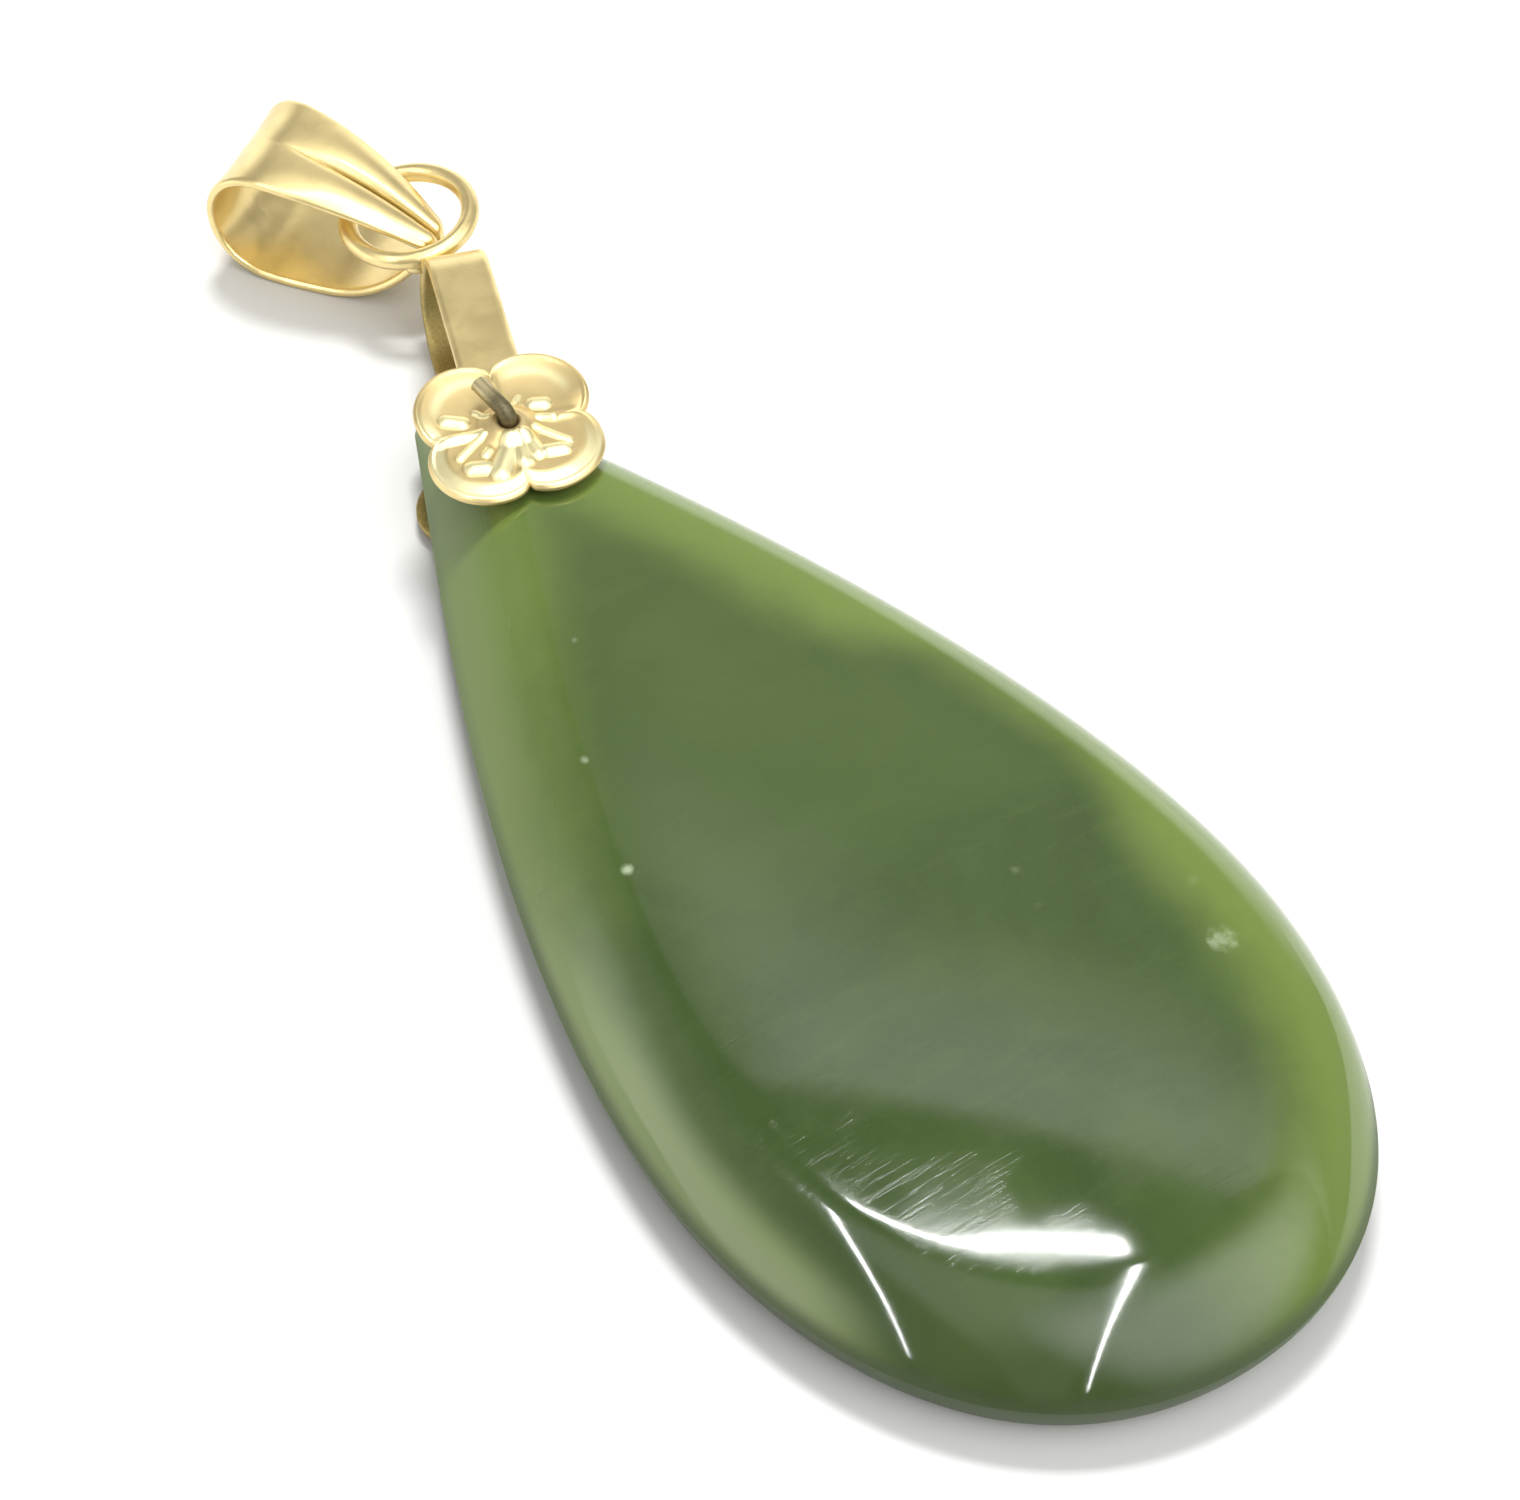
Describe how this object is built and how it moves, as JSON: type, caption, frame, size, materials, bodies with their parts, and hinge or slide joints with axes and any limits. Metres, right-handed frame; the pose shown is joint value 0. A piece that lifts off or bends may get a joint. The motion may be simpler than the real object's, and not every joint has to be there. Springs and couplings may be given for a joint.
{
  "type": "jade drop pendant",
  "caption": "Long pear-shaped jade drop lying on its back, held by a pinned gold flower cap and strap, with a ring and a folded ribbon bail to hang it from a chain.",
  "frame": {"origin": "on the stone's flat back, under the middle of its widest line", "axes": "+Y along the stone towards its tip and the bail, +Z out of the polished front, +X to the right"},
  "size_m": [0.02, 0.0558, 0.0057],
  "materials": {
    "jade": "polished, slightly translucent green jade",
    "gold": "polished pale yellow gold, softly worn",
    "pin_gold": "duller, slightly greyed gold wire"
  },
  "bodies": {
    "root": {"jade_drop": "jade", "strap_with_ring": "gold", "front_flower": "gold", "back_flower": "gold", "pin": "pin_gold", "bail": "gold"}
  },
  "joints": []
}
